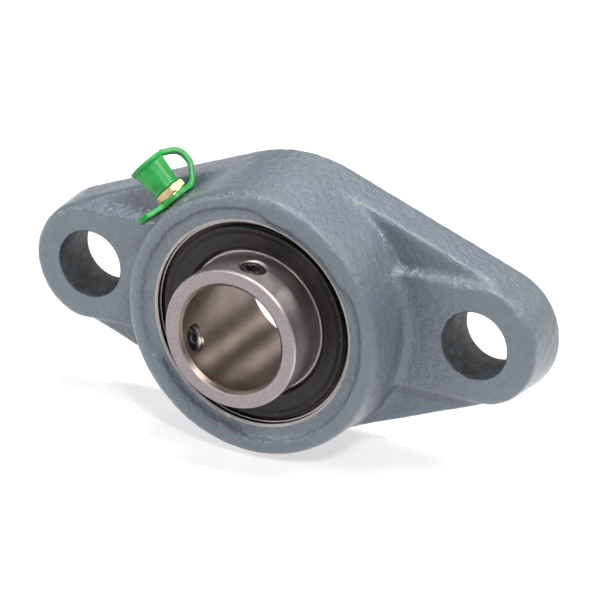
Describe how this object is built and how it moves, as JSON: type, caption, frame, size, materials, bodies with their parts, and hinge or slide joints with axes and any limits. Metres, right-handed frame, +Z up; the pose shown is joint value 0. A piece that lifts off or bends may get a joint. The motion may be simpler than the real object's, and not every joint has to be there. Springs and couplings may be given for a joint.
{
  "type": "flange mount bearing",
  "caption": "Two-bolt flange bearing unit: cast rhombic housing with a self-aligning sealed ball bearing, set screws and a capped grease nipple.",
  "frame": {"origin": "where the shaft's axis meets the mounting face, midway between the bolt holes", "axes": "+X through the bolt holes, +Y into the surface that the unit is bolted to (the bearing stands out towards -Y), +Z up"},
  "size_m": [0.1298, 0.0358, 0.0664],
  "materials": {
    "housing_paint": "blue-grey machinery paint over a rough casting, semi-gloss",
    "plated_nipple": "yellow passivated zinc plating",
    "green_strap": "soft translucent green plastic",
    "green_cap": "soft translucent green plastic",
    "ball_steel": "polished bearing steel",
    "spring_steel": "drawn spring wire",
    "pin_steel": "ground pin",
    "ground_outer_ring": "ground bearing steel",
    "ground_inner_ring": "ground bearing steel",
    "cage_steel": "pressed sheet steel",
    "rivet_steel": "headed rivets",
    "seal_plate_steel": "phosphated sheet steel",
    "seal_rubber": "black nitrile rubber",
    "slinger_steel": "dark coated sheet steel, satin",
    "black_screw": "black oxide"
  },
  "bodies": {
    "housing_group": {"housing": "housing_paint", "grease_nipple": "plated_nipple", "cap_strap": "green_strap", "nipple_spring": "spring_steel"},
    "nipple_cap": {"nipple_cap": "green_cap"},
    "nipple_ball": {"nipple_ball": "ball_steel"},
    "pin_group": {"anti_rotation_pin": "pin_steel"},
    "outer_ring_group": {"outer_ring": "ground_outer_ring", "front_seal_plate": "seal_plate_steel", "front_seal_lip": "seal_rubber", "rear_seal_plate": "seal_plate_steel", "rear_seal_lip": "seal_rubber"},
    "inner_ring_group": {"inner_ring": "ground_inner_ring", "front_slinger": "slinger_steel", "rear_slinger": "slinger_steel"},
    "cage_group": {"cage_front": "cage_steel", "cage_rear": "cage_steel", "cage_rivets": "rivet_steel"},
    "set_screw_1": {"set_screw_1": "black_screw"},
    "set_screw_2": {"set_screw_2": "black_screw"},
    "ball_1": {"ball_1": "ball_steel"},
    "ball_2": {"ball_2": "ball_steel"},
    "ball_3": {"ball_3": "ball_steel"},
    "ball_4": {"ball_4": "ball_steel"},
    "ball_5": {"ball_5": "ball_steel"},
    "ball_6": {"ball_6": "ball_steel"},
    "ball_7": {"ball_7": "ball_steel"},
    "ball_8": {"ball_8": "ball_steel"},
    "ball_9": {"ball_9": "ball_steel"}
  },
  "joints": [
    {"name": "align_pitch", "type": "hinge", "parent": "housing_group", "child": "pin_group", "pos_m": [0, -0.016, 0], "axis": [1, 0, 0], "range_deg": [-2, 2]},
    {"name": "align_yaw", "type": "hinge", "parent": "pin_group", "child": "outer_ring_group", "pos_m": [0, -0.016, 0], "axis": [0, 0, 1], "range_deg": [-2, 2]},
    {"name": "shaft_spin", "type": "hinge", "parent": "outer_ring_group", "child": "inner_ring_group", "pos_m": [0, -0.016, 0], "axis": [0, 1, 0], "continuous": true},
    {"name": "cage_spin", "type": "hinge", "parent": "outer_ring_group", "child": "cage_group", "pos_m": [0, -0.016, 0], "axis": [0, 1, 0], "continuous": true},
    {"name": "ball_1_spin", "type": "hinge", "parent": "cage_group", "child": "ball_1", "pos_m": [0.0192, -0.016, 0.00339], "axis": [0, 1, 0], "continuous": true},
    {"name": "ball_2_spin", "type": "hinge", "parent": "cage_group", "child": "ball_2", "pos_m": [0.01253, -0.016, 0.01494], "axis": [0, 1, 0], "continuous": true},
    {"name": "ball_3_spin", "type": "hinge", "parent": "cage_group", "child": "ball_3", "pos_m": [0, -0.016, 0.0195], "axis": [0, 1, 0], "continuous": true},
    {"name": "ball_4_spin", "type": "hinge", "parent": "cage_group", "child": "ball_4", "pos_m": [-0.01253, -0.016, 0.01494], "axis": [0, 1, 0], "continuous": true},
    {"name": "ball_5_spin", "type": "hinge", "parent": "cage_group", "child": "ball_5", "pos_m": [-0.0192, -0.016, 0.00339], "axis": [0, 1, 0], "continuous": true},
    {"name": "ball_6_spin", "type": "hinge", "parent": "cage_group", "child": "ball_6", "pos_m": [-0.01689, -0.016, -0.00975], "axis": [0, 1, 0], "continuous": true},
    {"name": "ball_7_spin", "type": "hinge", "parent": "cage_group", "child": "ball_7", "pos_m": [-0.00667, -0.016, -0.01832], "axis": [0, 1, 0], "continuous": true},
    {"name": "ball_8_spin", "type": "hinge", "parent": "cage_group", "child": "ball_8", "pos_m": [0.00667, -0.016, -0.01832], "axis": [0, 1, 0], "continuous": true},
    {"name": "ball_9_spin", "type": "hinge", "parent": "cage_group", "child": "ball_9", "pos_m": [0.01689, -0.016, -0.00975], "axis": [0, 1, 0], "continuous": true},
    {"name": "set_screw_1_travel", "type": "slide", "parent": "inner_ring_group", "child": "set_screw_1", "axis": [-0.1908, 0, -0.9816], "range_m": [-0.0012, 0.0008]},
    {"name": "set_screw_2_travel", "type": "slide", "parent": "inner_ring_group", "child": "set_screw_2", "axis": [0.9455, 0, 0.3256], "range_m": [-0.0012, 0.0008]},
    {"name": "cap_pull", "type": "slide", "parent": "housing_group", "child": "nipple_cap", "axis": [-0.7431, 0, 0.6691], "range_m": [0, 0.008], "deforming": ["cap_strap"]},
    {"name": "check_ball_lift", "type": "slide", "parent": "housing_group", "child": "nipple_ball", "axis": [0.7431, 0, -0.6691], "range_m": [0, 0.0008], "stiffness_N_per_m": 200, "springref_m": -0.0006, "deforming": ["nipple_spring"]}
  ],
  "couplings": [
    {"joint": "cage_spin", "follows": "shaft_spin", "ratio": 0.39823},
    {"joint": "ball_1_spin", "follows": "shaft_spin", "ratio": -2.3548},
    {"joint": "ball_2_spin", "follows": "shaft_spin", "ratio": -2.3548},
    {"joint": "ball_3_spin", "follows": "shaft_spin", "ratio": -2.3548},
    {"joint": "ball_4_spin", "follows": "shaft_spin", "ratio": -2.3548},
    {"joint": "ball_5_spin", "follows": "shaft_spin", "ratio": -2.3548},
    {"joint": "ball_6_spin", "follows": "shaft_spin", "ratio": -2.3548},
    {"joint": "ball_7_spin", "follows": "shaft_spin", "ratio": -2.3548},
    {"joint": "ball_8_spin", "follows": "shaft_spin", "ratio": -2.3548},
    {"joint": "ball_9_spin", "follows": "shaft_spin", "ratio": -2.3548}
  ]
}
